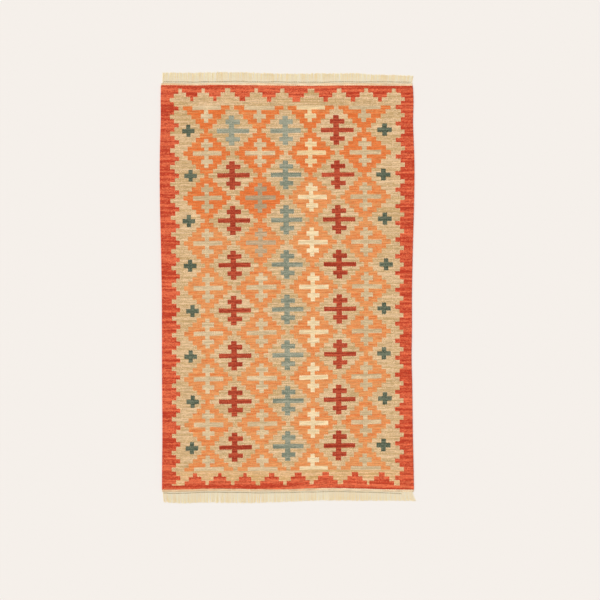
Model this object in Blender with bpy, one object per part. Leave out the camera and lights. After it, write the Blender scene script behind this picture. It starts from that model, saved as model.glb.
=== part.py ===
"""A flat-woven kilim rug, lying flat, with a cut warp fringe at each end.

X runs across the rug, Y runs along it and Z is up. The rug lies on Z = 0, and
the origin is the middle of the whole rug, fringes included. The near end is at
-Y and the far end at +Y.

The cloth is one solid: a sheet with an uneven, hand-woven outline, a cord-like
edge down each long side and a thinner cream band across each end. At each end
a narrow twined cord, parted from the cloth, carries the cut warp ends.
"""

import random

import bmesh
import bpy

# Driving dimensions, in metres.
CLOTH_LENGTH = 1.300       # end band to end band
CLOTH_WIDTH = 0.810        # at the widest place
CLOTH_THICKNESS = 0.0035
BAND_LENGTH = 0.0085       # the cream band, measured along the rug
BAND_THICKNESS = 0.0027
SELVEDGE_WIDTH = 0.0065    # the thicker edge cord down each long side
SELVEDGE_RISE = 0.0006     # how far it stands above the cloth
EDGE_ROUND = 0.0011        # rounding of the cloth's rim
CLEARANCE = 0.0003         # between the cloth and each twined cord

TWINED_WIDTH = 0.0042      # the cord that the fringe grows from
TWINED_LOW = 0.0021        # its height at the foot of each twist
TWINED_HIGH = 0.0031       # and at the crest
TWINED_SIDE = 0.0015       # its height at its two long sides

STRANDS = 146              # in each fringe
STRAND_WIDTH = 0.0039      # at the root
STRAND_HEIGHT = 0.0019
STRAND_TOP_SHARE = 0.60    # a strand's top is narrower than its foot
STRAND_LENGTH_SPREAD = 0.0016
STRAND_SWAY = 0.0008       # how far a tip strays to either side
SEED = 7

MILLIMETRE = 0.001

# How far each long side lies inside the widest line, in millimetres.
# The columns are: share of the length from the near end, left side, right side.
SIDE_ROWS = (
    (0.00, 7.0, 1.3),
    (0.05, 7.4, 2.6),
    (0.14, 8.3, 5.1),
    (0.26, 7.4, 7.0),
    (0.33, 7.1, 9.2),
    (0.40, 6.9, 7.8),
    (0.49, 6.4, 8.0),
    (0.61, 3.5, 4.8),
    (0.70, 0.7, 1.6),
    (0.79, 0.0, 0.0),
    (0.85, 1.0, 1.9),
    (0.91, 3.2, 4.8),
    (0.96, 2.8, 3.0),
    (1.00, 3.9, 5.5),
)

# How far each end lies inside the straight end line, in millimetres.
# The columns are: share of the width from the left, near end, far end.
END_ROWS = (
    (0.00, 0.0, 0.4),
    (0.07, 0.4, 1.2),
    (0.14, 2.2, 1.9),
    (0.21, 3.2, 0.0),
    (0.33, 2.0, 0.2),
    (0.45, 1.3, 1.3),
    (0.53, 2.6, 1.6),
    (0.64, 5.4, 1.9),
    (0.77, 4.1, 0.6),
    (0.90, 1.0, 1.6),
    (0.96, 0.0, 2.0),
    (1.00, 0.8, 5.0),
)

# How the fringes change across the rug, in millimetres. The columns are: share
# of the width from the left, near length, far length, near lean, far lean. A
# lean is how far the tips lie to the right of their roots.
FRINGE_ROWS = (
    (0.00, 28.5, 30.5, -2.0, 0.0),
    (0.07, 32.4, 30.5, -0.8, 0.2),
    (0.20, 32.6, 30.8, 0.3, 0.3),
    (0.33, 33.2, 30.3, 0.2, -0.3),
    (0.45, 29.6, 27.6, -0.4, 0.0),
    (0.53, 28.2, 27.3, 0.0, 0.5),
    (0.64, 28.0, 28.6, 0.4, 0.4),
    (0.78, 27.6, 28.2, 0.4, 0.6),
    (0.84, 26.0, 23.6, 0.6, 1.0),
    (0.94, 24.2, 22.8, 1.4, 1.6),
    (1.00, 24.6, 22.6, 8.5, 4.0),
)

# Where each twined cord starts and stops, inside the cloth's own corners.
NEAR_START, NEAR_STOP = 0.0015, 0.0045
FAR_START, FAR_STOP = 0.0045, 0.0020

# Sections of one strand. The columns are: share of its length, share of its
# root width, share of its root height, share of its lean taken up by then.
STRAND_SECTIONS = (
    (0.00, 1.00, 1.00, 0.00),
    (0.45, 0.90, 0.95, 0.34),
    (1.00, 0.42, 0.50, 1.00),
)

# Steps of the cloth's grid.
STEPS_ACROSS = 22
STEPS_ALONG = 48

WOOL_RED = (0.64, 0.11, 0.045, 1.0)
COTTON_CREAM = (0.84, 0.70, 0.48, 1.0)


def smooth_value(rows, at, column):
    """Reads a column of a table at any share, on a curve through its rows."""
    last = len(rows) - 1
    i = 0
    while i < last - 1 and rows[i + 1][0] < at:
        i += 1
    before, here = rows[max(i - 1, 0)], rows[i]
    there, after = rows[i + 1], rows[min(i + 2, last)]
    step = there[0] - here[0]
    t = min(max((at - here[0]) / step, 0.0), 1.0)
    slope_here = (there[column] - before[column]) / (there[0] - before[0]) * step
    slope_there = (after[column] - here[column]) / (after[0] - here[0]) * step
    rise = there[column] - here[column]
    return (
        here[column]
        + slope_here * t
        + (3.0 * rise - 2.0 * slope_here - slope_there) * t**2
        + (slope_here + slope_there - 2.0 * rise) * t**3
    )


def left_edge(along):
    return -CLOTH_WIDTH / 2 + smooth_value(SIDE_ROWS, along, 1) * MILLIMETRE


def right_edge(along):
    return CLOTH_WIDTH / 2 - smooth_value(SIDE_ROWS, along, 2) * MILLIMETRE


def near_edge(across):
    return -CLOTH_LENGTH / 2 + smooth_value(END_ROWS, across, 1) * MILLIMETRE


def far_edge(across):
    return CLOTH_LENGTH / 2 - smooth_value(END_ROWS, across, 2) * MILLIMETRE


def cloth_point(across, along):
    """The plan position of a place given as shares of the width and length."""
    left, right = left_edge(along), right_edge(along)
    near, far = near_edge(across), far_edge(across)
    return left + (right - left) * across, near + (far - near) * along


def spaced(total, margins, steps):
    """Shares from 0 to 1: at the margins near both ends, then evenly spaced."""
    close = [m / total for m in margins]
    inner = [
        close[-1] + (1.0 - 2.0 * close[-1]) * i / steps for i in range(steps + 1)
    ]
    return close[:-1] + inner + [1.0 - m for m in reversed(close[:-1])]


def cloth_columns():
    """Shares of the width at which the cloth's face has its points."""
    margins = (
        EDGE_ROUND,
        SELVEDGE_WIDTH * 0.55,
        SELVEDGE_WIDTH - EDGE_ROUND / 2,
        SELVEDGE_WIDTH + EDGE_ROUND / 2,
    )
    return spaced(CLOTH_WIDTH, margins, STEPS_ACROSS)


def cloth_rows():
    """Shares of the length at which the cloth's face has its points."""
    margins = (EDGE_ROUND, BAND_LENGTH, BAND_LENGTH + EDGE_ROUND)
    return spaced(CLOTH_LENGTH, margins, STEPS_ALONG)


def rim_shares(shares):
    """The same shares for the cloth's rim, whose corners lie at 0 and 1."""
    return [0.0] + shares[1:-1] + [1.0]


def end_line(end):
    """The straight-sided line that the cloth's rim follows at one of its ends."""
    return [cloth_point(across, end) for across in rim_shares(cloth_columns())]


def y_on_line(line, x):
    """Y of a line of points at a given X."""
    i = 0
    while i < len(line) - 2 and line[i + 1][0] < x:
        i += 1
    (x0, y0), (x1, y1) = line[i], line[i + 1]
    return y0 + (y1 - y0) * (x - x0) / (x1 - x0)


def cloth_height(from_side, from_end):
    """Height of the cloth's face, by its distance from a side and an end."""
    height = CLOTH_THICKNESS
    if from_side < SELVEDGE_WIDTH:
        height += SELVEDGE_RISE
    if from_end <= BAND_LENGTH + EDGE_ROUND / 2:
        height = BAND_THICKNESS
    return height


def new_object(name, bm, material):
    mesh = bpy.data.meshes.new(name)
    bmesh.ops.recalc_face_normals(bm, faces=bm.faces)
    bm.to_mesh(mesh)
    bm.free()
    mesh.materials.append(material)
    piece = bpy.data.objects.new(name, mesh)
    bpy.context.scene.collection.objects.link(piece)
    return piece


def yarn_material(name, colour):
    material = bpy.data.materials.new(name)
    material.use_nodes = True
    shader = material.node_tree.nodes["Principled BSDF"]
    shader.inputs["Base Color"].default_value = colour
    shader.inputs["Roughness"].default_value = 0.92
    shader.inputs["Metallic"].default_value = 0.0
    return material


def woven_body(material):
    """The cloth: a grid for its face and one for its back, joined by a rim."""
    across, along = cloth_columns(), cloth_rows()
    bm = bmesh.new()

    def layer(height_of):
        grid = []
        for t in along:
            line = []
            for s in across:
                x, y = cloth_point(s, t)
                from_side = min(s, 1.0 - s) * CLOTH_WIDTH
                from_end = min(t, 1.0 - t) * CLOTH_LENGTH
                line.append(bm.verts.new((x, y, height_of(from_side, from_end))))
            grid.append(line)
        return grid

    def skin(grid):
        for upper, lower in zip(grid[1:], grid[:-1]):
            for i in range(len(upper) - 1):
                bm.faces.new((lower[i], lower[i + 1], upper[i + 1], upper[i]))

    def rim(grid):
        """The grid's outermost vertices, once round."""
        right = [line[-1] for line in grid[1:]]
        left = [line[0] for line in reversed(grid[1:-1])]
        return grid[0] + right + list(reversed(grid[-1][:-1])) + left

    face = layer(cloth_height)
    back = layer(lambda from_side, from_end: 0.0)
    skin(face)
    skin(back)

    def outline(height):
        """The cloth's own outline at one height, one point for each rim vertex."""
        ends_s, ends_t = rim_shares(across), rim_shares(along)
        plan = [(s, 0.0) for s in ends_s] + [(1.0, t) for t in ends_t[1:]]
        plan += [(s, 1.0) for s in reversed(ends_s[:-1])]
        plan += [(0.0, t) for t in reversed(ends_t[1:-1])]
        points = []
        for s, t in plan:
            x, y = cloth_point(s, t)
            if s in (0.0, 1.0) and t in (0.0, 1.0):  # a corner is rounded off
                x -= EDGE_ROUND * (2.0 * s - 1.0)
                y -= EDGE_ROUND * (2.0 * t - 1.0)
            points.append(bm.verts.new((x, y, height)))
        return points

    levels = [
        rim(back),
        outline(EDGE_ROUND),
        outline(BAND_THICKNESS - EDGE_ROUND / 2),
        rim(face),
    ]
    for lower, upper in zip(levels[:-1], levels[1:]):
        for i in range(len(lower)):
            j = (i + 1) % len(lower)
            bm.faces.new((lower[i], lower[j], upper[j], upper[i]))
    return new_object("woven_body", bm, material)


def fringe(name, outward, columns, start, stop, material):
    """A twined cord along one end of the cloth, with the warp ends grown from it.

    outward is -1 at the near end and 1 at the far end, and columns are the
    length and lean columns of the table.
    """
    rng = random.Random(SEED + outward)
    line = end_line((outward + 1) / 2)
    first = line[0][0] + start
    pitch = (line[-1][0] - stop - first) / STRANDS
    bm = bmesh.new()

    def section(x, crest):
        """One cut across the twined cord: back foot, back, crest, front, front foot."""
        y = y_on_line(line, x) + outward * CLEARANCE
        profile = (
            (0.0, 0.0),
            (0.0, TWINED_SIDE),
            (TWINED_WIDTH / 2, crest),
            (TWINED_WIDTH, STRAND_HEIGHT),
            (TWINED_WIDTH, 0.0),
        )
        return [bm.verts.new((x, y + outward * dy, z)) for dy, z in profile]

    def side_faces(near, far, skipped=()):
        for i in range(len(near)):
            j = (i + 1) % len(near)
            if i not in skipped:
                bm.faces.new((near[i], near[j], far[j], far[i]))

    front = 3  # the side between the front corner and the front foot
    sections = []
    for i in range(STRANDS):
        middle = first + (i + 0.5) * pitch
        sections.append(section(middle - STRAND_WIDTH / 2, TWINED_HIGH))
        sections.append(section(middle + STRAND_WIDTH / 2, TWINED_LOW))
    bm.faces.new(sections[0])
    bm.faces.new(reversed(sections[-1]))

    for i in range(STRANDS):
        left, right = sections[2 * i], sections[2 * i + 1]
        side_faces(left, right, skipped=(front,))
        if i + 1 < STRANDS:
            side_faces(right, sections[2 * i + 2])
        share = (i + 0.5) / STRANDS
        length = smooth_value(FRINGE_ROWS, share, columns[0]) * MILLIMETRE
        length += rng.uniform(-STRAND_LENGTH_SPREAD, STRAND_LENGTH_SPREAD)
        lean = smooth_value(FRINGE_ROWS, share, columns[1]) * MILLIMETRE
        lean += rng.uniform(-STRAND_SWAY, STRAND_SWAY)
        root = [left[front], left[front + 1], right[front + 1], right[front]]
        middle_x = (left[front].co.x + right[front].co.x) / 2
        root_y = (left[front].co.y + right[front].co.y) / 2
        rings = [root]
        for reach, width, height, leaned in STRAND_SECTIONS[1:]:
            half = STRAND_WIDTH * width / 2
            x = middle_x + lean * leaned
            y = root_y + outward * length * reach
            z = STRAND_HEIGHT * height
            ring = (
                (x - half * STRAND_TOP_SHARE, y, z),
                (x - half, y, 0.0),
                (x + half, y, 0.0),
                (x + half * STRAND_TOP_SHARE, y, z),
            )
            rings.append([bm.verts.new(place) for place in ring])
        for near, far in zip(rings[:-1], rings[1:]):
            side_faces(near, far)
        bm.faces.new(rings[-1])
    return new_object(name, bm, material)


def centre_on_origin(pieces):
    """Moves the rug in plan so that the middle of its box is at the origin."""
    places = [v.co for piece in pieces for v in piece.data.vertices]
    middle_x = (min(p.x for p in places) + max(p.x for p in places)) / 2
    middle_y = (min(p.y for p in places) + max(p.y for p in places)) / 2
    for piece in pieces:
        for vertex in piece.data.vertices:
            vertex.co.x -= middle_x
            vertex.co.y -= middle_y


def build():
    for old in list(bpy.data.objects):
        bpy.data.objects.remove(old)
    wool = yarn_material("wool_red", WOOL_RED)
    cotton = yarn_material("cotton_cream", COTTON_CREAM)
    cloth = woven_body(wool)
    near = fringe("near_fringe", -1, (1, 3), NEAR_START, NEAR_STOP, cotton)
    far = fringe("far_fringe", 1, (2, 4), FAR_START, FAR_STOP, cotton)
    centre_on_origin((cloth, near, far))


build()
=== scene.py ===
"""The looks of a kilim rug that lies flat on a pale floor, seen from straight above.

X runs across the rug, Y along it and Z up, in metres, as in the frame. The
cloth is one closed sheet whose mesh follows its warps, so that the weaver's
unevenness is in the shape. Every place on it is known by two numbers, kept in
the UV map "weave": the column, counted in steps of the pattern from the middle
column of motifs, and the row, counted in steps from the near end. The pattern
is charted on those numbers, one weft float at a time.
"""

import math

import bpy
import numpy as np
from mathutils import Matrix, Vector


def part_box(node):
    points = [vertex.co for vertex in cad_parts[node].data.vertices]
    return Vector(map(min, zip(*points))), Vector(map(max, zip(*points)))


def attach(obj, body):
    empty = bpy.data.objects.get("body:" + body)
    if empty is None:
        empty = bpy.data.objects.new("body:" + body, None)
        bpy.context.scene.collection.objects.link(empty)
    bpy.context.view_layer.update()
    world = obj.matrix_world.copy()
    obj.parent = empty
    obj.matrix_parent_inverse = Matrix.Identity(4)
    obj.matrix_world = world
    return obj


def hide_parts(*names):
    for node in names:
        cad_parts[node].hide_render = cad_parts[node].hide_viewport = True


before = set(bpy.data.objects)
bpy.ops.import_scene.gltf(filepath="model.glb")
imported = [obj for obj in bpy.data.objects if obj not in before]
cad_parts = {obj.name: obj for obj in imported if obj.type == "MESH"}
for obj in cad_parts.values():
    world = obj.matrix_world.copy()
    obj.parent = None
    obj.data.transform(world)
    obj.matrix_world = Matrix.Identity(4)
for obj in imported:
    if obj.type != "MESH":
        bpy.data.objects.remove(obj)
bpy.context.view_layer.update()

MILLIMETRE = 0.001
FULL_TURN = 2.0 * math.pi
SEED = 11

# ----------------------------------------
# Sizes of the cloth

EDGE_COLUMN = 28.75          # the two side edges are this many steps from the middle
WARPS_PER_STEP = 4
FLOATS_PER_ROW = 8           # weft floats that show on one warp in one row of the pattern
FIRST_ROW, LAST_ROW = -1.1, 91.1      # the near and the far end of the cloth
FIRST_WOOL_ROW, LAST_WOOL_ROW = -0.5, 90.5      # beyond these lies the cotton end band

THICKNESS = 0.0035
BAND_THICKNESS = 0.0027
RIB_DEPTH = 0.00035          # how deep the grooves between the warps are
SELVEDGE_STEPS = 0.5         # the two outermost warps are bound into an edge cord
SELVEDGE_RISE = 0.0006
EDGE_ROUND = 0.0016
RIM_SHARE = 0.45             # height of the rim's outermost line, as a share of the thickness
WAVE_HEIGHT = 0.0005         # the cloth doesn't lie perfectly flat
WAVE_LENGTHS = (0.16, 0.55)  # the shortest and the longest wave
WANDER = 0.0005              # how far hand weaving strays from its lines, apart from the tables
ACROSS_LENGTHS, ALONG_LENGTHS = (0.09, 0.3), (0.07, 0.25)      # of the waves that it strays in
WANDER_MARGIN = 0.03         # how far in from the rim the straying is full
WAVES = 7
MESH_ROWS = 98
RIM_MARGINS = (0.0, 0.015, 0.05)      # extra lines of the mesh along the rim, in steps

# Where the columns of the lattice run, in millimetres from the cloth's middle
# line: column, at the near end, halfway, at the far end.
COLUMN_LINES = (
    (-25.5, -353.1, -351.5, -360.5),
    (-24, -332.5, -334.5, -337.9),
    (-18, -252.3, -253.4, -258.4),
    (-12, -163.7, -168.3, -177.1),
    (-6, -79.0, -83.2, -89.8),
    (0, 5.2, 0.9, -5.3),
    (6, 81.2, 81.3, 68.6),
    (12, 164.1, 168.4, 154.0),
    (18, 245.5, 252.4, 240.8),
    (24, 336.1, 336.1, 337.1),
    (25.5, 357.7, 357.3, 362.4),
)

# How far up the rug each row of the pattern lies, in millimetres from the near
# end line: row, near the left side, in the middle, near the right side.
ROW_LINES = (
    (-1.1, 0.0, 0.0, 0.0),
    (-0.5, 7.8, 7.8, 7.8),
    (0.5, 20.6, 20.8, 21.0),
    (3.5, 60.0, 61.8, 63.0),
    (4.5, 65.0, 67.0, 69.7),
    (5.5, 77.4, 80.5, 82.4),
    (10, 138.1, 146.1, 149.9),
    (20, 286.5, 290.2, 298.2),
    (30, 430.4, 435.5, 440.8),
    (40, 574.6, 580.8, 584.1),
    (50, 719.2, 723.4, 723.9),
    (60, 861.0, 864.8, 869.1),
    (70, 1005.3, 1008.6, 1009.2),
    (80, 1146.7, 1148.1, 1151.9),
    (84.5, 1214.6, 1215.6, 1217.4),
    (85.5, 1228.0, 1228.5, 1229.0),
    (86.5, 1244.0, 1240.8, 1240.8),
    (89.5, 1284.1, 1284.9, 1285.6),
    (90.5, 1294.6, 1293.4, 1293.2),
    (91.1, 1300.0, 1300.0, 1300.0),
)
SIDE_COLUMN = 22             # the column that ROW_LINES gives for each side
END_FADE_ROWS = 10           # how far in the unevenness of an end line is felt

# ----------------------------------------
# The pattern

COLUMNS_APART, ROWS_APART = 12.0, 10.0      # from one diamond to the next of its colour
DIAMOND_REACH = 5.5          # steps from the middle of a beige diamond to its edge
WHOLE_SIDE = 18.0            # beyond this column the beige diamonds are cut in half
FIELD_SIDE = 24.0
FIELD_START, FIELD_END = 4.5, 85.5
BORDER_SIDE = 24.5           # where the side borders start at the foot of a tooth
NEAR_BORDER, FAR_BORDER = 0.5, 89.5
FAR_BLUE_ROW = 75.0          # above it the left column's motif is blue too
GREY_ROW = 60.0              # the two grey motifs lie on either side of it

# The stepped teeth down each side border: how far up the rug the first and the
# last tip lie, and how much higher the tips halfway are.
TEETH = 22                   # from the first tip to the last one
TOOTH_STEPS = 4.0            # up one side of a tooth and down the other
TEETH_LINES = {
    "left": (0.0442, 1.2186, 0.0),
    "right": (0.0451, 1.2234, 0.0080),
}
ROWS_PER_TOOTH = 3.74

# The columns that the small crosses in the side half diamonds are centred on:
# row, left side, right side. The weaver's count was a warp or two out at some.
CROSS_COLUMNS = (
    (10, -21.75, 22.0),
    (20, -21.5, 22.25),
    (30, -22.0, 22.0),
    (40, -21.5, 22.0),
    (50, -22.0, 22.5),
    (60, -22.25, 22.25),
    (70, -21.75, 22.0),
    (80, -22.25, 22.25),
)

# The tips of the beige peaks at the far end and of the notches between the red
# pyramids at the near end: column, and how much narrower than its count each side is.
FAR_PEAKS = (
    (-24.1, 0.1),
    (-18.6, 0.2),
    (-12.8, -0.1),
    (-6.6, 0.05),
    (-0.7, 0.0),
    (6.5, -0.15),
    (12.8, 0.0),
    (18.6, 0.05),
    (24.3, 0.0),
)
NEAR_NOTCHES = (
    (-24.2, -0.1),
    (-18.15, 0.2),
    (-12.65, 0.2),
    (-7.0, 0.1),
    (-0.85, 0.1),
    (5.75, 0.1),
    (12.3, -0.1),
    (18.8, 0.25),
    (24.8, 0.05),
)

# The motifs, in steps from their middle: how far each part reaches to the left and to
# the right, how far above and below the middle it lies, and half its height. First the
# stem, then the long bar, then the two short bars.
MOTIF_PARTS = {
    "beige": (
        (0.75, 0.5, 0.0, 3.25),
        (3.5, 3.75, 0.0, 0.5),
        (1.5, 1.75, 1.9, 0.525),
    ),
    "orange": (
        (0.5, 0.5, 0.0, 3.25),
        (3.25, 3.5, 0.0, 0.5),
        (1.25, 1.5, 1.9, 0.525),
    ),
}
CROSS_REACH, CROSS_HEIGHT = 1.5, 1.37      # half the width and half the height of a small cross

# ----------------------------------------
# Sizes of the edge cords and the fringes

ROOT_GAP = 0.0003            # between the cloth's end and the roots of the fringe
CORD_GAP = 0.0036            # between the cloth's end and the cord, which binds the fringe
CORD_WAVE = 0.0009           # how far the cord strays from a straight line
CORD_WAVE_LENGTHS = (0.04, 0.12)
CORD_STRANDS = 2
CORD_STRAND_RADIUS = 0.00068
CORD_LAY_RADIUS = 0.00062    # from the cord's middle to the middle of a strand
CORD_TURN = 0.0078           # length of one full turn of the twist
CORD_STEP = 0.0011
CORD_SIDES = 6
CORD_SHADE, CORD_CONTRAST = 0.1, 1.6      # the first strand's shade, and what the others add
CORD_RADIUS = CORD_STRAND_RADIUS + CORD_LAY_RADIUS

WARP_ENDS = 230
PLIES = 3
PLY_RADIUS = 0.00056
PLY_LAY_RADIUS = 0.00060
PLY_TURN = 0.0125
PLY_OPENING = 1.1            # how much wider apart the plies lie at the cut end
PLY_POINTS = 13
YARN_SIDES = 5
PLY_CONTRAST = 0.25
FRINGE_SPREAD = 0.10         # how unevenly the ends are cut, as a share of their length
FRINGE_STRAY = 0.0012        # how far a single end strays to one side
FRINGE_GATHER = 0.0030       # how far neighbouring ends lean together
BUNCHES_PER_METRE = 85.0     # how often that leaning changes
DRIFTS_PER_METRE = 14.0      # how often the fringe's shade changes

# How the fringes change across the rug, in millimetres: share of the width from
# the left, near reach, far reach, near lean, far lean. A reach is measured from
# the cloth's end, and a lean is how far the tips lie to the right of the roots.
FRINGE_ROWS = (
    (0.00, 34.2, 35.6, 4.0, 0.0),
    (0.07, 38.1, 35.6, 0.8, 0.2),
    (0.20, 38.3, 35.9, 0.3, 0.3),
    (0.33, 38.9, 35.4, 0.2, -0.3),
    (0.45, 35.3, 32.7, -0.4, 0.0),
    (0.53, 33.9, 32.4, 0.0, 0.5),
    (0.64, 33.7, 33.7, 0.4, 0.4),
    (0.78, 33.3, 33.3, 0.4, 0.6),
    (0.84, 31.7, 28.7, 0.6, 1.0),
    (0.94, 29.9, 27.9, 2.4, 1.6),
    (1.00, 30.3, 25.0, 9.5, 4.0),
)
# Each end of the rug: the way it faces along Y, the columns of its reach and lean in
# FRINGE_ROWS, how far inside the cloth's corners its fringe starts and stops, and how
# far inside the right corner its cord stops.
ENDS = {
    "near": {"facing": -1.0, "reach": 1, "lean": 3, "start": 0.003, "stop": 0.0045, "cord_stop": 0.038},
    "far": {"facing": 1.0, "reach": 2, "lean": 4, "start": 0.0045, "stop": 0.002, "cord_stop": 0.006},
}
GUIDE_STEPS = 90

# ----------------------------------------
# The photo's viewpoint: straight above, with the rug a little left of the
# middle and a little high.

CAMERA_PLACE = (0.0409, -0.0395, 6.0)
VIEW_WIDTH = 1.9078          # metres of floor across the picture
SENSOR_WIDTH = 36.0
FLOOR_SIZE = 80.0
SUN_STRENGTH = 1.85
SUN_SOFTNESS = math.radians(50.0)
SUN_TILT, SUN_TURN = math.radians(20.0), math.radians(50.0)
SKY_STRENGTH = 0.53

# ----------------------------------------
# Colours


def dye(red, green, blue):
    """A colour given as seen on a screen, from 0 to 255, as the shaders need it."""
    def linear(value):
        share = value / 255.0
        if share <= 0.04045:
            return share / 12.92
        return ((share + 0.055) / 1.055) ** 2.4
    return linear(red), linear(green), linear(blue), 1.0


# The paler and the deeper shade of each yarn.
DYES = {
    "Beige": (dye(243, 206, 162), dye(203, 167, 113)),
    "Straw": (dye(250, 204, 156), dye(213, 169, 106)),
    "Orange": (dye(240, 166, 103), dye(236, 118, 54)),
    "Madder": (dye(207, 92, 60), dye(162, 50, 28)),
    "Blue": (dye(176, 175, 152), dye(125, 134, 115)),
    "Sage": (dye(240, 211, 169), dye(206, 178, 134)),
    "Grey": (dye(215, 184, 146), dye(178, 153, 119)),
    "Cream": (dye(255, 231, 188), dye(244, 210, 156)),
    "Green": (dye(122, 128, 106), dye(70, 82, 64)),
    "Red": (dye(245, 121, 79), dye(196, 61, 34)),
    "Cotton": (dye(255, 232, 195), dye(246, 204, 156)),
}
FRINGE_PALE, FRINGE_DEEP = dye(255, 251, 222), dye(251, 224, 170)
# The edge cord: its deep strand is a darker yarn, and both colours are darkened further as painted
# shade along the cloth's ends.
CORD_PALE_WITH_PAINTED_SHADE, CORD_DEEP_WITH_PAINTED_SHADE = dye(206, 188, 152), dye(90, 79, 59)
FLOOR_COLOUR = dye(239, 234, 229)
SKY_COLOUR = dye(250, 249, 248)

# Hairs of the spun yarn to a metre along X, Y and Z.
WOOL_GRAIN, CORD_GRAIN = (500.0, 3800.0, 3800.0), (900.0, 2600.0, 2600.0)
FRINGE_GRAIN = (2600.0, 500.0, 2600.0)
WOOL_SHEEN, COTTON_SHEEN = 0.12, 0.15
WOOL_DEPTH, COTTON_DEPTH = 0.0004, 0.00015      # of the yarn's relief, in metres

# In floats: how unevenly the warps hold the weft, and how far the weft strays.
FLOAT_SLACK, FLOAT_WANDER = 0.22, 1.6

# How much a yarn's shade changes slowly, from streak to streak, and from float to float.
SLOW_CHANGE, STREAK_CHANGE, FLOAT_CHANGE = 0.5, 2.5, 0.7

# ----------------------------------------
# Reading the tables and the frame


def table_value(rows, at, column):
    """A column of a table, read at one or more values of its first column."""
    return np.interp(at, [row[0] for row in rows], [row[column] for row in rows])


def outline_sides():
    """The CAD cloth's outline, at its widest level: the points of each of its four sides."""
    rim_level, tolerance = 0.0011, 0.0001
    side_zone, end_zone = 0.39, 0.62
    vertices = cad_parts["woven_body"].data.vertices
    rim = np.array([v.co[:2] for v in vertices if abs(v.co.z - rim_level) < tolerance])
    rim = np.unique(rim.round(5), axis=0)
    x, y = rim[:, 0], rim[:, 1]

    def corner(side, end):
        return rim[np.argmax(side * x + end * y)]

    def between(values, first, last, axis):
        return (values >= min(first[axis], last[axis])) & (values <= max(first[axis], last[axis]))

    near_left, near_right = corner(-1, -1), corner(1, -1)
    far_left, far_right = corner(-1, 1), corner(1, 1)
    return {
        "left": rim[(x < -side_zone) & between(y, near_left, far_left, 1)],
        "right": rim[(x > side_zone) & between(y, near_right, far_right, 1)],
        "near": rim[(y < -end_zone) & between(x, near_left, near_right, 0)],
        "far": rim[(y > end_zone) & between(x, far_left, far_right, 0)],
    }


OUTLINE = outline_sides()
CLOTH_LOW, CLOTH_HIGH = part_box("woven_body")
HALF_WIDTH = (CLOTH_HIGH.x - CLOTH_LOW.x) / 2
STEP_WIDTH = HALF_WIDTH / EDGE_COLUMN
ROW_HEIGHT = (CLOTH_HIGH.y - CLOTH_LOW.y) / (LAST_ROW - FIRST_ROW)


def side_x(side, y):
    """X of the cloth's left or right edge at Y."""
    line = OUTLINE[side][np.argsort(OUTLINE[side][:, 1])]
    return np.interp(y, line[:, 1], line[:, 0])


def end_y(end, x):
    """Y of the cloth's near or far end line at X, which runs straight on to its corners."""
    corner_zone = 0.37
    line = OUTLINE[end][np.argsort(OUTLINE[end][:, 0])]
    line = line[np.abs(line[:, 0]) < corner_zone]
    return np.interp(x, line[:, 0], line[:, 1])


# ----------------------------------------
# The cloth's mesh


def mesh_lines(first, last, inner):
    """Values from first to last: the inner ones, and close ones along both rims."""
    margins = np.array(RIM_MARGINS)
    kept = inner[(inner > first + margins[-1]) & (inner < last - margins[-1])]
    return np.concatenate([first + margins, kept, last - margins[::-1]])


def cloth_columns():
    """A line of the mesh along the crest of each warp, and one in each groove."""
    half_warp = 0.5 / WARPS_PER_STEP
    halves = round(EDGE_COLUMN / half_warp)
    return mesh_lines(-EDGE_COLUMN, EDGE_COLUMN, np.arange(-halves, halves + 1) * half_warp)


def cloth_rows():
    """Lines of the mesh across the cloth, closer together where the end bands start."""
    step = 0.05
    band_edges = [FIRST_WOOL_ROW - step, FIRST_WOOL_ROW + step]
    band_edges += [LAST_WOOL_ROW - step, LAST_WOOL_ROW + step]
    inner = np.sort(np.concatenate([np.linspace(FIRST_ROW, LAST_ROW, MESH_ROWS), band_edges]))
    return mesh_lines(FIRST_ROW, LAST_ROW, inner)


def cloth_places(columns, rows):
    """X and Y of each crossing of the given columns and rows, as a grid."""
    rough_x = columns / EDGE_COLUMN * HALF_WIDTH
    left, middle, right = (table_value(ROW_LINES, rows, i)[:, None] * MILLIMETRE for i in (1, 2, 3))
    side = np.clip(columns / SIDE_COLUMN, -1.0, 1.0)[None, :]
    y = CLOTH_LOW.y + middle + np.where(side < 0, (middle - left) * side, (right - middle) * side)
    near_felt = np.clip(1.0 - (rows - FIRST_ROW) / END_FADE_ROWS, 0.0, 1.0)[:, None]
    far_felt = np.clip(1.0 - (LAST_ROW - rows) / END_FADE_ROWS, 0.0, 1.0)[:, None]
    y = y + (end_y("near", rough_x) - CLOTH_LOW.y)[None, :] * near_felt
    y = y + (end_y("far", rough_x) - CLOTH_HIGH.y)[None, :] * far_felt

    from_rim = np.minimum(
        (EDGE_COLUMN - np.abs(columns))[None, :] * STEP_WIDTH,
        np.minimum(rows - FIRST_ROW, LAST_ROW - rows)[:, None] * ROW_HEIGHT,
    )
    stray = WANDER * np.clip(from_rim / WANDER_MARGIN, 0.0, 1.0)
    known = [-EDGE_COLUMN] + [line[0] for line in COLUMN_LINES] + [EDGE_COLUMN]
    x = np.empty_like(y)
    for i, line_y in enumerate(y):
        along = (line_y.mean() - CLOTH_LOW.y) / (CLOTH_HIGH.y - CLOTH_LOW.y)
        lines = [np.interp(along, (0.0, 0.5, 1.0), line[1:]) * MILLIMETRE for line in COLUMN_LINES]
        edges = side_x("left", line_y[0]), side_x("right", line_y[-1])
        x[i] = np.interp(columns, known, [edges[0]] + lines + [edges[1]])
    wander_x = gentle_waves(x, y, ACROSS_LENGTHS, SEED + 1)
    wander_y = gentle_waves(x, y, ALONG_LENGTHS, SEED + 2)
    return x + wander_x * stray, y + wander_y * stray


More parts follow.
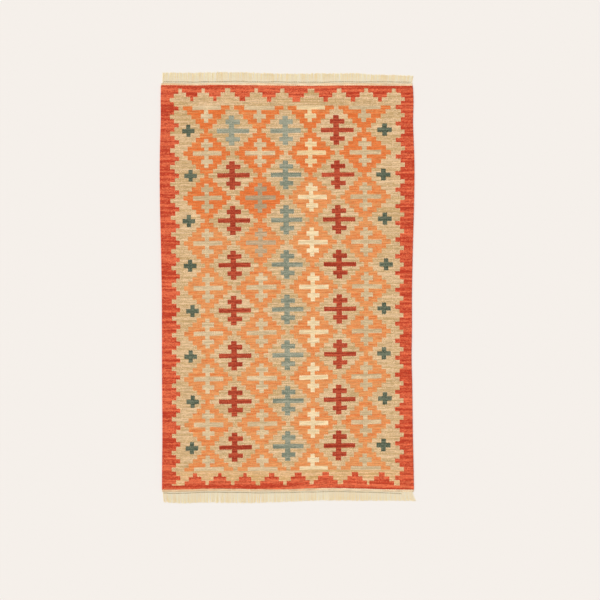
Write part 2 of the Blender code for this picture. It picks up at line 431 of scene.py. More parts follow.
def gentle_waves(x, y, lengths, seed):
    """Soft unevenness, from -1 to 1, made of waves between two lengths."""
    draw = np.random.default_rng(seed)
    total = np.zeros_like(x)
    for _ in range(WAVES):
        heading, phase = draw.uniform(0.0, FULL_TURN, 2)
        along = x * math.cos(heading) + y * math.sin(heading)
        total += np.sin(along / draw.uniform(*lengths) * FULL_TURN + phase)
    return np.clip(total / math.sqrt(WAVES), -1.0, 1.0)


def cloth_heights(columns, rows, waves):
    """Z of the upper and the lower face."""
    from_side = (EDGE_COLUMN - np.abs(columns))[None, :]
    from_end = np.minimum(rows - FIRST_ROW, LAST_ROW - rows)[:, None]
    wool = ((rows > FIRST_WOOL_ROW) & (rows < LAST_WOOL_ROW))[:, None]
    thickness = np.where(wool, THICKNESS, BAND_THICKNESS)
    crest = np.abs(np.sin((columns + 0.5) * WARPS_PER_STEP * math.pi))[None, :]
    bound = from_side < SELVEDGE_STEPS
    groove = np.where(bound, 0.0, RIB_DEPTH * (1.0 - crest))
    rise = np.where(bound, SELVEDGE_RISE * np.sin(from_side / SELVEDGE_STEPS * math.pi), 0.0)

    lift = (waves + 1.0) / 2.0 * WAVE_HEIGHT
    upper = lift + thickness - groove + rise
    lower = lift + groove
    rim = lift + thickness * RIM_SHARE
    from_rim = np.minimum(from_side * STEP_WIDTH, from_end * ROW_HEIGHT)
    share = np.clip(from_rim / EDGE_ROUND, 0.0, 1.0)
    rounding = np.sqrt(1.0 - (1.0 - share) ** 2)
    return rim + (upper - rim) * rounding, rim + (lower - rim) * rounding


def teeth_phase(x, y):
    """Counts the teeth of the nearer side border: a whole number at each tip."""
    up = y - CLOTH_LOW.y
    phases = {}
    for side, (first, last, bow) in TEETH_LINES.items():
        share = np.clip((up - first) / (last - first), 0.0, 1.0)
        phases[side] = (up - bow * np.sin(share * math.pi) - first) / (last - first) * TEETH
    return np.where(x < 0.0, phases["left"], phases["right"])


def cross_column(column, row):
    """The column that the nearest small cross of the nearer side is centred on."""
    rows = [line[0] for line in CROSS_COLUMNS]
    nearest = np.clip(np.round(row / ROWS_APART).astype(int) - 1, 0, len(rows) - 1)
    left, right = (np.array([line[i] for line in CROSS_COLUMNS])[nearest] for i in (1, 2))
    return np.where(column < 0.0, left, right)


def new_object(name, data):
    """A new object in the scene."""
    thing = bpy.data.objects.new(name, data)
    bpy.context.scene.collection.objects.link(thing)
    return thing


def fill_attribute(mesh, name, values):
    """Keeps one number for each point of a mesh."""
    attribute = mesh.attributes.new(name, "FLOAT", "POINT")
    attribute.data.foreach_set("value", np.asarray(values, np.float32))


def fill_uv(mesh, name, values):
    """Adds a UV map from one pair of numbers for each corner of each face."""
    layer = mesh.uv_layers.new(name=name)
    layer.uv.foreach_set("vector", values.astype(np.float32).ravel())


def bake_layout(column_share, row_share, is_upper):
    """Places the upper face on most of a square and the lower face, smaller, beside it."""
    upper_width, margin, lower_scale = 0.617, 0.005, 0.55
    upper = np.stack([column_share * upper_width + margin, row_share * 0.99 + margin], axis=1)
    lower = upper * lower_scale + (upper_width + 2 * margin, margin)
    return np.where(is_upper[:, None], upper, lower)


def woven_cloth(material):
    columns, rows = cloth_columns(), cloth_rows()
    x, y = cloth_places(columns, rows)
    upper_z, lower_z = cloth_heights(columns, rows, gentle_waves(x, y, WAVE_LENGTHS, SEED))

    # Both faces share the points of the rim.
    shape = x.shape
    upper_index = np.arange(x.size).reshape(shape)
    lower_index = upper_index.copy()
    inside = np.zeros(shape, bool)
    inside[1:-1, 1:-1] = True
    lower_index[inside] = x.size + np.arange(inside.sum())
    places = np.concatenate([
        np.stack([x, y, upper_z], axis=-1).reshape(-1, 3),
        np.stack([x, y, lower_z], axis=-1)[inside],
    ])

    def faces(index, turned):
        corners = [index[:-1, :-1], index[:-1, 1:], index[1:, 1:], index[1:, :-1]]
        if turned:
            corners.reverse()
        return np.stack(corners, axis=-1).reshape(-1, 4)

    upper_faces, lower_faces = faces(upper_index, False), faces(lower_index, True)
    quads = np.concatenate([upper_faces, lower_faces])
    mesh = bpy.data.meshes.new("kilim_cloth")
    mesh.from_pydata(places.tolist(), [], quads.tolist())
    mesh.polygons.foreach_set("use_smooth", np.ones(len(quads), bool))

    column_grid, row_grid = np.meshgrid(columns, rows)
    known = np.stack([column_grid, row_grid], axis=-1)
    point_weave = np.concatenate([known.reshape(-1, 2), known[inside]])
    at_corner = point_weave[quads.ravel()]
    is_upper = np.repeat([True, False], [upper_faces.size, lower_faces.size])
    fill_uv(mesh, "weave", at_corner)
    column_share = (at_corner[:, 0] + EDGE_COLUMN) / (2 * EDGE_COLUMN)
    row_share = (at_corner[:, 1] - FIRST_ROW) / (LAST_ROW - FIRST_ROW)
    fill_uv(mesh, "OFBake", bake_layout(column_share, row_share, is_upper))
    fill_attribute(mesh, "teeth", teeth_phase(places[:, 0], places[:, 1]))
    fill_attribute(mesh, "cross", cross_column(point_weave[:, 0], point_weave[:, 1]))
    mesh.materials.append(material)
    mesh.update()
    return new_object("kilim_cloth", mesh)


# ----------------------------------------
# Small helpers for node trees


def math_method(operation):
    """A method of Value that feeds a math node with the value and what it is given."""
    def method(self, *others):
        node = self.tree.nodes.new("ShaderNodeMath")
        node.operation = operation
        for slot, term in zip(node.inputs, (self, *others)):
            plug(self.tree, term, slot)
        return Value(self.tree, node.outputs[0])
    return method


class Value:
    """A number that changes over a surface or along a curve: a node's output socket."""

    def __init__(self, tree, socket):
        self.tree = tree
        self.socket = socket

    __add__ = math_method("ADD")
    __sub__ = math_method("SUBTRACT")
    __mul__ = math_method("MULTIPLY")
    __truediv__ = math_method("DIVIDE")
    __and__ = math_method("MINIMUM")
    __or__ = math_method("MAXIMUM")
    floor = math_method("FLOOR")
    fraction = math_method("FRACT")
    absolute = math_method("ABSOLUTE")
    sine = math_method("SINE")
    cosine = math_method("COSINE")
    power = math_method("POWER")
    ping_pong = math_method("PINGPONG")
    below = math_method("LESS_THAN")      # 1 where the value is below the limit, else 0
    above = math_method("GREATER_THAN")

    def __invert__(self):
        return (self * -1.0) + 1.0

    def rounded(self):
        return (self + 0.5).floor()

    def off_multiples(self, spacing):
        """Distance to the nearest multiple of spacing."""
        return self.ping_pong(spacing / 2)

    def ranging(self, low, high):
        """low where the value is 0, and high where it is 1."""
        return self * (high - low) + low

    def past_nearest(self, spacing):
        """How far past the nearest multiple of spacing, or under 0 short of it."""
        return self - (self / spacing).rounded() * spacing

    def stretched(self, low, high):
        """0 at low and under it, 1 at high and over it, with a smooth rise between them."""
        node = self.tree.nodes.new("ShaderNodeMapRange")
        node.interpolation_type = "SMOOTHSTEP"
        plug(self.tree, self, node.inputs["Value"])
        node.inputs["From Min"].default_value = low
        node.inputs["From Max"].default_value = high
        return Value(self.tree, node.outputs["Result"])


def plug(tree, term, socket):
    """Feeds a socket with a Value, another socket, or a plain number, colour or name."""
    if isinstance(term, Value):
        tree.links.new(term.socket, socket)
    elif isinstance(term, bpy.types.NodeSocket):
        tree.links.new(term, socket)
    else:
        socket.default_value = term


def socket_of(sockets, identifier):
    return next(socket for socket in sockets if socket.identifier == identifier)


def add_node(tree, kind, inputs=(), **settings):
    """A new node with its settings made and its inputs fed, by name."""
    node = tree.nodes.new(kind)
    for name, value in settings.items():
        setattr(node, name, value)
    for name, term in dict(inputs).items():
        plug(tree, term, node.inputs[name])
    return node


def new_group(kind, name, inputs, outputs):
    """A node group's tree, what the group is given, by name, and its output node."""
    tree = bpy.data.node_groups.new(name, kind)
    for way, sockets in (("INPUT", inputs), ("OUTPUT", outputs)):
        for socket_name, socket_kind in sockets:
            tree.interface.new_socket(socket_name, in_out=way, socket_type=socket_kind)
    source = tree.nodes.new("NodeGroupInput")
    given = {socket.name: Value(tree, socket) for socket in source.outputs}
    return tree, given, tree.nodes.new("NodeGroupOutput")


def use_group(tree, group, inputs):
    """Places a group in a tree and feeds its inputs, by name."""
    kind = "ShaderNodeGroup" if tree.bl_idname == "ShaderNodeTree" else "GeometryNodeGroup"
    return add_node(tree, kind, inputs, node_tree=group)


def value_of(tree, node, output):
    return Value(tree, node.outputs[output])


def vector_of(tree, x, y, z):
    return add_node(tree, "ShaderNodeCombineXYZ", {"X": x, "Y": y, "Z": z}).outputs["Vector"]


def all_of(tree, node):
    """Everything that a node gives, in order."""
    return [Value(tree, output) for output in node.outputs]


def parts_of(tree, vector):
    """X, Y and Z of a vector."""
    return all_of(tree, add_node(tree, "ShaderNodeSeparateXYZ", {"Vector": vector}))


def attribute_of(tree, name):
    """A number kept on the mesh, for a material to read."""
    return value_of(tree, add_node(tree, "ShaderNodeAttribute", attribute_name=name), "Fac")


def soft_noise(tree, vector, scale=1.0, detail=2.0):
    """Smooth noise round 0.5."""
    inputs = {"Vector": vector, "Scale": scale, "Detail": detail}
    node = add_node(tree, "ShaderNodeTexNoise", inputs)
    return Value(tree, socket_of(node.outputs, "Fac"))


def cell_noise(tree, vector):
    """Noise from 0 to 1 that is unlike for each vector."""
    return value_of(tree, add_node(tree, "ShaderNodeTexWhiteNoise", {"Vector": vector}), "Value")


def mixed(tree, factor, first, second):
    """A colour from first, where factor is 0, to second, where it is 1."""
    node = tree.nodes.new("ShaderNodeMix")
    node.data_type = "RGBA"
    plug(tree, factor, socket_of(node.inputs, "Factor_Float"))
    plug(tree, first, socket_of(node.inputs, "A_Color"))
    plug(tree, second, socket_of(node.inputs, "B_Color"))
    return socket_of(node.outputs, "Result_Color")


def scaled(tree, vector, factor):
    """A vector made longer or shorter, or a colour made lighter or darker."""
    node = add_node(tree, "ShaderNodeVectorMath", operation="SCALE")
    plug(tree, vector, node.inputs[0])
    plug(tree, factor, node.inputs["Scale"])
    return node.outputs["Vector"]


NUMBER, WHOLE, VECTOR = "NodeSocketFloat", "NodeSocketInt", "NodeSocketVector"
SHAPE, MATERIAL = "NodeSocketGeometry", "NodeSocketMaterial"

# What every plied yarn is given.
PLY_INPUTS = (
    ("Plies", WHOLE), ("Ply Radius", NUMBER), ("Lay Radius", NUMBER), ("Turn Length", NUMBER),
    ("Opening", NUMBER), ("Ply Contrast", NUMBER), ("Sides", WHOLE), ("Material", MATERIAL),
)


# ----------------------------------------
# Shader node groups


def make_weft_floats():
    """Splits the weave into single weft floats. Each passes over one warp, and the
    floats of neighbouring warps lie half a float apart, as bricks do. The wefts
    aren't quite straight, and the pattern that is charted on them follows them."""
    tree, given, sink = new_group(
        "ShaderNodeTree", "weft floats",
        (("Weave", VECTOR), ("Warps", NUMBER), ("Floats", NUMBER)),
        (("Column", NUMBER), ("Row", NUMBER), ("Height", NUMBER), ("Tone", NUMBER)),
    )
    column, row, _ = parts_of(tree, given["Weave"])
    warps, floats = given["Warps"], given["Floats"]
    warp = (column + 0.5) * warps
    odd = (warp.floor() * 0.5).fraction() * 2.0
    slack = cell_noise(tree, vector_of(tree, warp.floor(), 0.5, 7.0))
    wander = soft_noise(tree, vector_of(tree, column * 0.4, row * 0.4, 3.0))
    count = row * floats + odd * 0.5 + (slack - 0.5) * FLOAT_SLACK + (wander - 0.5) * FLOAT_WANDER
    across, along = warp.fraction() * 2.0 - 1.0, count.fraction() * 2.0 - 1.0
    round_top = ~across.absolute().power(2.5)
    round_ends = (~along.absolute().power(3.0)).power(0.5)
    tie_break = 0.02
    plug(tree, (warp.floor() + 0.5) / warps - 0.5, sink.inputs["Column"])
    plug(tree, (count.floor() + 0.5 + tie_break - odd * 0.5) / floats, sink.inputs["Row"])
    plug(tree, round_top * round_ends, sink.inputs["Height"])
    plug(tree, cell_noise(tree, vector_of(tree, warp.floor(), count.floor(), 0.0)), sink.inputs["Tone"])
    return tree


def make_spun_fibre():
    """The fine hairs of a spun yarn. Grain says how many there are to a metre each way."""
    tree, given, sink = new_group(
        "ShaderNodeTree", "spun fibre",
        (("Vector", VECTOR), ("Grain", VECTOR)),
        (("Height", NUMBER), ("Tone", NUMBER)),
    )
    stretch = add_node(tree, "ShaderNodeVectorMath", operation="MULTIPLY")
    plug(tree, given["Vector"], stretch.inputs[0])
    plug(tree, given["Grain"], stretch.inputs[1])
    hairs = soft_noise(tree, stretch.outputs["Vector"], detail=3.0)
    plug(tree, hairs, sink.inputs["Height"])
    plug(tree, hairs.stretched(0.3, 0.7), sink.inputs["Tone"])
    return tree


def make_uneven_dye():
    """The streaks of hand-dyed yarn, as it is laid in row by row: 0 is pale and 1 deep.
    Batch tells one length of yarn from another, Streaks is how many there are to a row
    of the pattern, Contrast how strong they are, and Depth the yarn's usual shade."""
    tree, given, sink = new_group(
        "ShaderNodeTree", "uneven dye",
        (
            ("Column", NUMBER), ("Row", NUMBER), ("Batch", NUMBER), ("Tone", NUMBER),
            ("Streaks", NUMBER), ("Contrast", NUMBER), ("Depth", NUMBER),
        ),
        (("Shade", NUMBER),),
    )
    column, row, batch = given["Column"], given["Row"], given["Batch"] * 7.31
    slow = soft_noise(tree, vector_of(tree, column * 0.03, row * 0.2, batch)) - 0.5
    streaks = vector_of(tree, column * 0.08, row * given["Streaks"], batch + 3.7)
    streak = soft_noise(tree, streaks) - 0.5
    change = slow * SLOW_CHANGE + streak * STREAK_CHANGE + (given["Tone"] - 0.5) * FLOAT_CHANGE
    shade = change * given["Contrast"] + given["Depth"]
    plug(tree, shade.stretched(0.0, 1.0), sink.inputs["Shade"])
    return tree


def motif(column, row, parts):
    """The motif on each 12th column and 10th row: a stem, crossed by its bars."""
    past_column, off_row = column.past_nearest(COLUMNS_APART), row.off_multiples(ROWS_APART)
    shape = None
    for left, right, height, half in parts:
        part = past_column.above(-left) & past_column.below(right)
        part = part & (off_row - height).absolute().below(half)
        shape = part if shape is None else shape | part
    return shape


def steps_off(column, tips):
    """Steps to the nearest tip of a stepped line, 3 at most."""
    nearest = None
    for tip, narrowing in tips:
        distance = (column - tip).absolute() + narrowing
        nearest = distance if nearest is None else nearest & distance
    return nearest.rounded() & 3.0


def make_chart():
    """The pattern: which yarn shows in a place of the weave. What no mask claims is beige."""
    tree, given, sink = new_group(
        "ShaderNodeTree", "stepped diamond chart",
        (("Column", NUMBER), ("Row", NUMBER), ("Teeth", NUMBER), ("Cross", NUMBER)),
        tuple((name, NUMBER) for name in DYES if name != "Beige"),
    )
    finer_column, finer_row = given["Column"], given["Row"]
    column, row = finer_column.rounded(), finer_row.rounded()
    right_side = column.above(0.0)
    from_middle = column.absolute()
    in_field = row.above(FIELD_START) & row.below(FIELD_END)
    half_column, half_row = COLUMNS_APART / 2, ROWS_APART / 2

    # The lattice: beige diamonds on every 12th column and 10th row, orange between them.
    across, along = column.off_multiples(COLUMNS_APART), row.off_multiples(ROWS_APART)
    orange = in_field & (across + along).above(DIAMOND_REACH) & from_middle.below(FIELD_SIDE)

    # A motif in each whole diamond, and small crosses in the half diamonds at the sides.
    on_beige = motif(finer_column, finer_row, MOTIF_PARTS["beige"])
    on_beige = on_beige & in_field & from_middle.below(WHOLE_SIDE)
    on_orange = motif(finer_column - half_column, finer_row - half_row, MOTIF_PARTS["orange"])
    on_orange = on_orange & in_field & from_middle.below(FIELD_SIDE)
    off_cross = (finer_column - given["Cross"]).absolute()
    off_bar = finer_row.off_multiples(ROWS_APART)
    cross = off_cross.below(CROSS_REACH) & off_bar.below(0.5)
    cross = cross | (off_cross.below(0.5) & off_bar.below(CROSS_HEIGHT))
    cross = cross & from_middle.above(WHOLE_SIDE)

    # The yarns of the motifs change from one column of diamonds to the next.
    far_left = column.below(-half_column) & row.above(FAR_BLUE_ROW)
    blue_place = from_middle.below(half_column) | far_left
    cream_place = right_side & column.below(COLUMNS_APART)
    grey_place = (column + half_column).absolute().below(half_column - 1.0)
    grey_place = grey_place & (row - GREY_ROW).absolute().below(ROWS_APART)

    # The red borders: stepped teeth at the sides, peaks at the far end, pyramids at the near
    # end. The right border's teeth stop a step short of the near end.
    tooth_step = (given["Teeth"].off_multiples(1.0) * TOOTH_STEPS).rounded()
    tooth_step = tooth_step & (~(right_side & row.below(1.5)) + 1.0)
    sides = (from_middle - tooth_step).above(BORDER_SIDE)
    far_end = (steps_off(finer_column, FAR_PEAKS) + row).above(FAR_BORDER)
    pyramids = (steps_off(finer_column, NEAR_NOTCHES) - row).above(-NEAR_BORDER)
    pyramids = pyramids & from_middle.below(BORDER_SIDE)
    red = sides | far_end | pyramids | row.below(NEAR_BORDER)

    masks = {
        "Straw": row.below(FIELD_START),
        "Orange": orange,
        "Madder": on_beige & ~blue_place,
        "Blue": on_beige & blue_place,
        "Sage": on_orange & ~(cream_place | grey_place),
        "Grey": on_orange & grey_place,
        "Cream": on_orange & cream_place,
        "Green": cross & in_field,
        "Red": red,
        "Cotton": row.below(FIRST_WOOL_ROW) | row.above(LAST_WOOL_ROW),
    }
    for name, mask in masks.items():
        plug(tree, mask, sink.inputs[name])
    return tree


WEFT_FLOATS = make_weft_floats()
SPUN_FIBRE = make_spun_fibre()
UNEVEN_DYE = make_uneven_dye()
CHART = make_chart()

# ----------------------------------------
# Materials


def matt_yarn(name, sheen):
    """A material with the shader's constant values for soft, matt yarn."""
    material = bpy.data.materials.new(name)
    material.use_nodes = True
    tree = material.node_tree
    shader = tree.nodes["Principled BSDF"]
    shader.inputs["Specular IOR Level"].default_value = 0.2
    shader.inputs["Sheen Weight"].default_value = sheen
    shader.inputs["Sheen Roughness"].default_value = 0.5
    return material, tree, shader


def fibre_of(tree, grain):
    """The height and the tone of a spun yarn's hairs."""
    place = add_node(tree, "ShaderNodeTexCoord").outputs["Object"]
    return all_of(tree, use_group(tree, SPUN_FIBRE, {"Vector": place, "Grain": grain}))


def finish_surface(tree, shader, colour, hairs, height, depth):
    """Feeds the shader: depth is how many metres the height's whole range stands for."""
    plug(tree, colour, shader.inputs["Base Color"])
    plug(tree, hairs.ranging(0.95, 0.85), shader.inputs["Roughness"])
    bump = add_node(tree, "ShaderNodeBump", {"Height": height, "Distance": depth})
    plug(tree, bump.outputs["Normal"], shader.inputs["Normal"])


def kilim_weave():
    """Wool weft in ten dyes, floating over the warps, with the cotton bands at the ends."""
    material, tree, shader = matt_yarn("kilim weave", WOOL_SHEEN)
    weave = add_node(tree, "ShaderNodeUVMap", uv_map="weave").outputs["UV"]
    column, row, relief, tone = all_of(tree, use_group(tree, WEFT_FLOATS, {
        "Weave": weave, "Warps": float(WARPS_PER_STEP), "Floats": float(FLOATS_PER_ROW),
    }))

    # The teeth are counted where the float's middle lies, so that no float is cut in two.
    teeth = attribute_of(tree, "teeth") + (row - parts_of(tree, weave)[1]) / ROWS_PER_TOOTH
    chart = use_group(tree, CHART, {
        "Column": column, "Row": row, "Teeth": teeth, "Cross": attribute_of(tree, "cross"),
    })
    masks = {name: value_of(tree, chart, name) for name in DYES if name != "Beige"}

    # Each diamond of the field and each colour in it has its own length of yarn. The far
    # third's orange, which starts later on the right, comes from a deeper bath, and so
    # do the side borders' red and the last column's sage. The blue and the sage of the
    # far end come from paler ones.
    across, along = column / COLUMNS_APART, row / ROWS_APART
    beige_cell = across.rounded() + along.rounded() * 5.0
    orange_cell = across.floor() + along.floor() * 5.0 + 0.5
    on_orange = masks["Orange"] | masks["Sage"] | masks["Grey"] | masks["Cream"]
    in_field = row.above(FIELD_START) & row.below(FIELD_END) & ~masks["Red"]
    batch = (beige_cell + on_orange * (orange_cell - beige_cell)) * in_field
    for number, mask in enumerate(masks.values()):
        batch = batch + mask * (number * 2.37 + 1.1)
    far_third = (row - column.stretched(-3.0, 3.0) * 9.0).stretched(57.0, 63.0)
    depth = masks["Orange"] * (far_third - 0.4) * 0.4 + 0.5
    depth = depth + masks["Sage"] * (column.above(12.0) * 0.15 - row.above(68.0) * 0.4 + 0.1)
    depth = depth + masks["Blue"] * row.above(FAR_BLUE_ROW).ranging(0.1, -0.2)
    depth = depth + masks["Red"] * row.above(8.0) * row.below(85.0) * 0.1
    dyed = use_group(tree, UNEVEN_DYE, {
        "Column": column, "Row": row, "Batch": batch, "Tone": tone, "Depth": depth,
        "Streaks": masks["Red"].ranging(3.6, 2.0), "Contrast": on_orange.ranging(1.0, 0.7),
    })
    shade = value_of(tree, dyed, "Shade")
    colour = None
    for name, (pale, deep) in DYES.items():
        yarn = mixed(tree, shade, pale, deep)
        colour = yarn if colour is None else mixed(tree, masks[name], colour, yarn)

    fibre, hairs = fibre_of(tree, WOOL_GRAIN)
    thick = soft_noise(tree, vector_of(tree, column * 0.5, row * 5.0, batch + 9.0)).stretched(0.3, 0.7)
    # Painted shade and highlight: each float's colour darkens towards its edges, where the grooves
    # between floats lie, and lightens a little on its crown. The hairs and the weft's thickness vary
    # the tone at random.
    light = relief.ranging(0.72, 1.06) * hairs.ranging(0.87, 1.13) * thick.ranging(0.84, 1.16)
    height = relief + fibre * 0.6
    finish_surface(tree, shader, scaled(tree, colour, light), hairs, height, WOOL_DEPTH)
    return material


def cotton_yarn(name, pale, deep, grain):
    """Undyed cotton, plied: pale or deep by the strand's own shade, and downy. The edge cord's colours
    are darkened further as painted shade.
    """
    material, tree, shader = matt_yarn(name, COTTON_SHEEN)
    strand = attribute_of(tree, "shade")
    fibre, hairs = fibre_of(tree, grain)
    colour = mixed(tree, strand * 0.85 + hairs * 0.15, pale, deep)
    finish_surface(tree, shader, colour, hairs, fibre, COTTON_DEPTH)
    return material


# ----------------------------------------
# Geometry Nodes for the edge cords and the fringes


def named_value(tree, name):
    """A number kept on the geometry under a name."""
    node = add_node(tree, "GeometryNodeInputNamedAttribute", {"Name": name})
    return value_of(tree, node, "Attribute")


def passed(tree, shape, kind, **inputs):
    """A shape passed through a node that takes geometry and gives it."""
    return add_node(tree, kind, {"Geometry": shape, **inputs}).outputs["Geometry"]


def keep_value(tree, shape, name, value):
    """Keeps a number on the points of a shape under a name."""
    return passed(tree, shape, "GeometryNodeStoreNamedAttribute", Name=name, Value=value)


def random_value(tree, low, high, seed):
    node = tree.nodes.new("FunctionNodeRandomValue")
    for identifier, term in (("Min_001", low), ("Max_001", high), ("Seed", seed)):
        plug(tree, term, socket_of(node.inputs, identifier))
    return Value(tree, socket_of(node.outputs, "Value_001"))


def moved(tree, shape, offset):
    return passed(tree, shape, "GeometryNodeSetPosition", Offset=offset)


def resampled(tree, curve, mode, measure, amount):
    """A curve with evenly spaced points: measure is the input that says how many."""
    inputs = {"Curve": curve, measure: amount}
    return add_node(tree, "GeometryNodeResampleCurve", inputs, mode=mode).outputs["Curve"]


def make_plied_yarn():
    """Lays plies round each guide line, in the plane of Side and Z, and gives them their skin."""
    tree, given, sink = new_group(
        "GeometryNodeTree", "plied yarn",
        (("Guides", SHAPE), ("Side", VECTOR), ("Start", NUMBER), ("Shade", NUMBER), *PLY_INPUTS),
        (("Yarn", SHAPE),),
    )
    guides = {"Geometry": given["Guides"], "Amount": given["Plies"]}
    copies = add_node(tree, "GeometryNodeDuplicateElements", guides, domain="SPLINE")
    ply_share = value_of(tree, copies, "Duplicate Index") / given["Plies"]

    spline = add_node(tree, "GeometryNodeSplineParameter")
    turns = value_of(tree, spline, "Length") / given["Turn Length"]
    angle = (turns + ply_share + given["Start"]) * FULL_TURN
    lay = given["Lay Radius"]
    open_now = value_of(tree, spline, "Factor").power(1.5) * given["Opening"]
    sideways = scaled(tree, given["Side"], angle.cosine() * lay * (open_now + 1.0))
    plies = moved(tree, copies.outputs["Geometry"], sideways)
    plies = moved(tree, plies, vector_of(tree, 0.0, 0.0, angle.sine() * lay))
    plies = keep_value(tree, plies, "shade", given["Shade"] + ply_share * given["Ply Contrast"])

    ring = add_node(tree, "GeometryNodeCurvePrimitiveCircle", {
        "Resolution": given["Sides"], "Radius": given["Ply Radius"],
    })
    skin = add_node(tree, "GeometryNodeCurveToMesh", {
        "Curve": plies, "Profile Curve": ring.outputs["Curve"], "Fill Caps": True,
    })
    yarn = passed(tree, skin.outputs["Mesh"], "GeometryNodeSetShadeSmooth")
    yarn = passed(tree, yarn, "GeometryNodeRealizeInstances")
    yarn = passed(tree, yarn, "GeometryNodeSetMaterial", Material=given["Material"])
    plug(tree, yarn, sink.inputs["Yarn"])
    return tree


PLIED_YARN = make_plied_yarn()


def plied(tree, given, inputs):
    """Plied yarn in a tree that is itself given what every plied yarn is."""
    handed_on = {name: given[name] for name, _ in PLY_INPUTS}
    return use_group(tree, PLIED_YARN, {**handed_on, **inputs}).outputs["Yarn"]


def make_edge_cord():
    """Two strands twisted along the end of the cloth."""
    tree, given, sink = new_group(
        "GeometryNodeTree", "edge cord",
        (("Guide", SHAPE), ("Step", NUMBER), *PLY_INPUTS),
        (("Cord", SHAPE),),
    )
    line = add_node(tree, "GeometryNodeMeshToCurve", {"Mesh": given["Guide"]}).outputs["Curve"]
    guides = resampled(tree, line, "LENGTH", "Length", given["Step"])
    cord = plied(tree, given, {
        "Guides": guides, "Side": (0.0, 1.0, 0.0), "Start": 0.0, "Shade": CORD_SHADE,
    })
    plug(tree, cord, sink.inputs["Cord"])
    return tree


def make_cut_fringe():
    """Cut warp ends along a guide line. The guide's points carry each end's reach and lean."""
    tree, given, sink = new_group(
        "GeometryNodeTree", "cut fringe",
        (
            ("Guide", SHAPE), ("Facing", NUMBER), ("Ends", WHOLE), ("Points", WHOLE),
            ("Spread", NUMBER), ("Stray", NUMBER), ("Gather", NUMBER), ("Seed", WHOLE), *PLY_INPUTS,
        ),
        (("Fringe", SHAPE),),
    )
    seed = given["Seed"]
    line = add_node(tree, "GeometryNodeMeshToCurve", {"Mesh": given["Guide"]}).outputs["Curve"]
    shape = resampled(tree, line, "COUNT", "Count", given["Ends"])
    root_x = parts_of(tree, add_node(tree, "GeometryNodeInputPosition").outputs["Position"])[0]
    bunches = vector_of(tree, root_x * BUNCHES_PER_METRE, seed, 0.0)
    drift = vector_of(tree, root_x * DRIFTS_PER_METRE, seed, 5.0)
    together = (soft_noise(tree, bunches, detail=1.0) - 0.5) * given["Gather"] * 2.0
    single = random_value(tree, -1.0, 1.0, seed) * given["Stray"]
    cut = ~(random_value(tree, 0.0, 1.0, seed + 1.0) * given["Spread"])
    tone = soft_noise(tree, drift) * 0.8 + random_value(tree, -0.15, 0.35, seed + 2.0)
    shape = keep_value(tree, shape, "lean", named_value(tree, "lean") + together + single)
    shape = keep_value(tree, shape, "reach", named_value(tree, "reach") * cut)
    shape = keep_value(tree, shape, "tone", tone)
    shape = keep_value(tree, shape, "start", random_value(tree, 0.0, 1.0, seed + 3.0))

    unit = add_node(tree, "GeometryNodeCurvePrimitiveLine", {"End": (0.0, 1.0, 0.0)}).outputs["Curve"]
    guide = resampled(tree, unit, "COUNT", "Count", given["Points"])
    placed = add_node(tree, "GeometryNodeInstanceOnPoints", {"Points": shape, "Instance": guide})
    real = passed(tree, placed.outputs["Instances"], "GeometryNodeRealizeInstances")

    spline = add_node(tree, "GeometryNodeSplineParameter")
    share = value_of(tree, spline, "Index") / (given["Points"] - 1.0)
    sideways = named_value(tree, "lean") * share.power(1.4)
    outward = (named_value(tree, "reach") * given["Facing"] - 1.0) * share
    fringe = plied(tree, given, {
        "Guides": moved(tree, real, vector_of(tree, sideways, outward, 0.0)),
        "Side": (1.0, 0.0, 0.0),
        "Start": named_value(tree, "start"), "Shade": named_value(tree, "tone"),
    })
    plug(tree, fringe, sink.inputs["Fringe"])
    return tree


def grown(name, guide, tree, inputs):
    """A plain mesh piece that a tree makes from a guide line."""
    modifier = guide.modifiers.new(tree.name, "NODES")
    modifier.node_group = tree
    for item in tree.interface.items_tree:
        if item.in_out == "INPUT" and item.name in inputs:
            modifier[item.identifier] = inputs[item.name]
    depsgraph = bpy.context.evaluated_depsgraph_get()
    mesh = bpy.data.meshes.new_from_object(
        guide.evaluated_get(depsgraph), preserve_all_data_layers=True, depsgraph=depsgraph,
    )
    mesh.name = name
    bpy.data.objects.remove(guide)
    return new_object(name, mesh)


def guide_line(end, outward, stop, wave):
    """A line along the cloth's end, from near its left corner to short of its right one."""
    facts, line = ENDS[end], OUTLINE[end]
    first, last = line[:, 0].min() + facts["start"], line[:, 0].max() - facts[stop]
    share = np.linspace(0.0, 1.0, GUIDE_STEPS)
    x = first + (last - first) * share
    y = end_y(end, x) + facts["facing"] * outward
    y = y + wave * gentle_waves(x, y, CORD_WAVE_LENGTHS, SEED + facts["reach"])
    mesh = bpy.data.meshes.new(end + " guide")
    places = [(float(a), float(b), CORD_RADIUS) for a, b in zip(x, y)]
    mesh.from_pydata(places, [(i, i + 1) for i in range(GUIDE_STEPS - 1)], [])
    for name, already in (("reach", outward), ("lean", 0.0)):
        values = table_value(FRINGE_ROWS, share, facts[name]) * MILLIMETRE
        fill_attribute(mesh, name, values - already)
    return new_object(end + " guide", mesh)


def edge_cord(end, tree, material):
    guide = guide_line(end, CORD_GAP + CORD_RADIUS, "cord_stop", CORD_WAVE)
    return grown(end + "_edge_cord", guide, tree, {
        "Step": CORD_STEP, "Plies": CORD_STRANDS, "Ply Radius": CORD_STRAND_RADIUS,
        "Lay Radius": CORD_LAY_RADIUS, "Turn Length": CORD_TURN, "Opening": 0.0,
        "Ply Contrast": CORD_CONTRAST, "Sides": CORD_SIDES, "Material": material,
    })


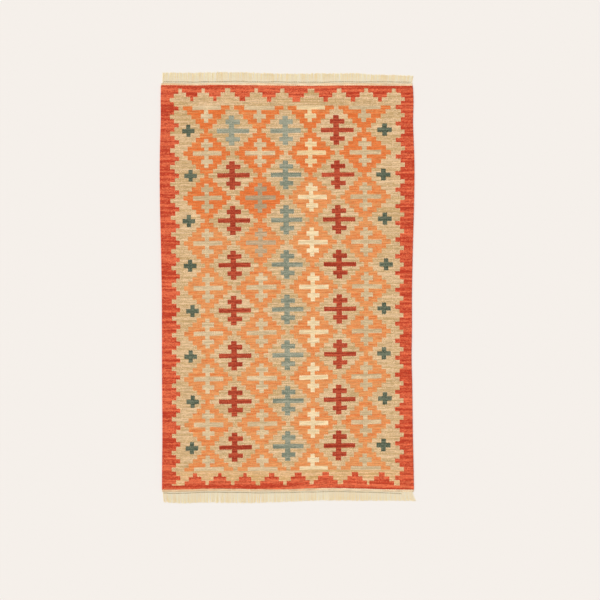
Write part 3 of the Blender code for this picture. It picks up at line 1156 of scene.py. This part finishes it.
def cut_fringe(end, tree, material, seed):
    guide = guide_line(end, ROOT_GAP, "stop", 0.0)
    return grown(end + "_cut_fringe", guide, tree, {
        "Facing": ENDS[end]["facing"], "Ends": WARP_ENDS, "Points": PLY_POINTS,
        "Spread": FRINGE_SPREAD, "Stray": FRINGE_STRAY, "Gather": FRINGE_GATHER, "Seed": seed,
        "Plies": PLIES, "Ply Radius": PLY_RADIUS, "Lay Radius": PLY_LAY_RADIUS,
        "Turn Length": PLY_TURN, "Opening": PLY_OPENING, "Ply Contrast": PLY_CONTRAST,
        "Sides": YARN_SIDES, "Material": material,
    })


# ----------------------------------------
# Floor, light and camera


def make_floor():
    mesh = bpy.data.meshes.new("floor")
    half = FLOOR_SIZE / 2
    corners = [(-half, -half, 0.0), (half, -half, 0.0), (half, half, 0.0), (-half, half, 0.0)]
    mesh.from_pydata(corners, [], [(0, 1, 2, 3)])
    material = bpy.data.materials.new("pale floor")
    material.use_nodes = True
    shader = material.node_tree.nodes["Principled BSDF"]
    shader.inputs["Base Color"].default_value = FLOOR_COLOUR
    shader.inputs["Roughness"].default_value = 0.9
    shader.inputs["Specular IOR Level"].default_value = 0.1
    mesh.materials.append(material)
    floor = new_object("floor", mesh)
    return floor


def make_light():
    """A pale sky all round, and one broad soft light from the far left."""
    world = bpy.data.worlds.new("soft studio")
    world.use_nodes = True
    background = world.node_tree.nodes["Background"]
    background.inputs["Color"].default_value = SKY_COLOUR
    background.inputs["Strength"].default_value = SKY_STRENGTH
    bpy.context.scene.world = world
    light = bpy.data.lights.new("broad soft light", "SUN")
    light.energy = SUN_STRENGTH
    light.angle = SUN_SOFTNESS
    sun = new_object("broad soft light", light)
    sun.rotation_euler = (-SUN_TILT, 0.0, SUN_TURN)


def make_camera():
    camera = bpy.data.cameras.new("from above")
    camera.sensor_width = SENSOR_WIDTH
    camera.lens = SENSOR_WIDTH * CAMERA_PLACE[2] / VIEW_WIDTH
    camera.clip_end = 100.0
    holder = new_object("from above", camera)
    holder.location = CAMERA_PLACE
    bpy.context.scene.camera = holder
    bpy.context.scene.view_settings.view_transform = "Standard"


# ----------------------------------------
# The rug

floor = make_floor()
cloth = woven_cloth(kilim_weave())
cord_tree, fringe_tree = make_edge_cord(), make_cut_fringe()
cord_material = cotton_yarn("twined cotton", CORD_PALE_WITH_PAINTED_SHADE, CORD_DEEP_WITH_PAINTED_SHADE, CORD_GRAIN)
fringe_material = cotton_yarn("cotton fringe", FRINGE_PALE, FRINGE_DEEP, FRINGE_GRAIN)
for number, end in enumerate(ENDS):
    cord = edge_cord(end, cord_tree, cord_material)
    fringe = cut_fringe(end, fringe_tree, fringe_material, SEED + 10 * number)
    for trim in (cord, fringe):
        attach(trim, "root")
        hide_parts(end + "_fringe")

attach(cloth, "root")
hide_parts("woven_body")

make_light()
make_camera()
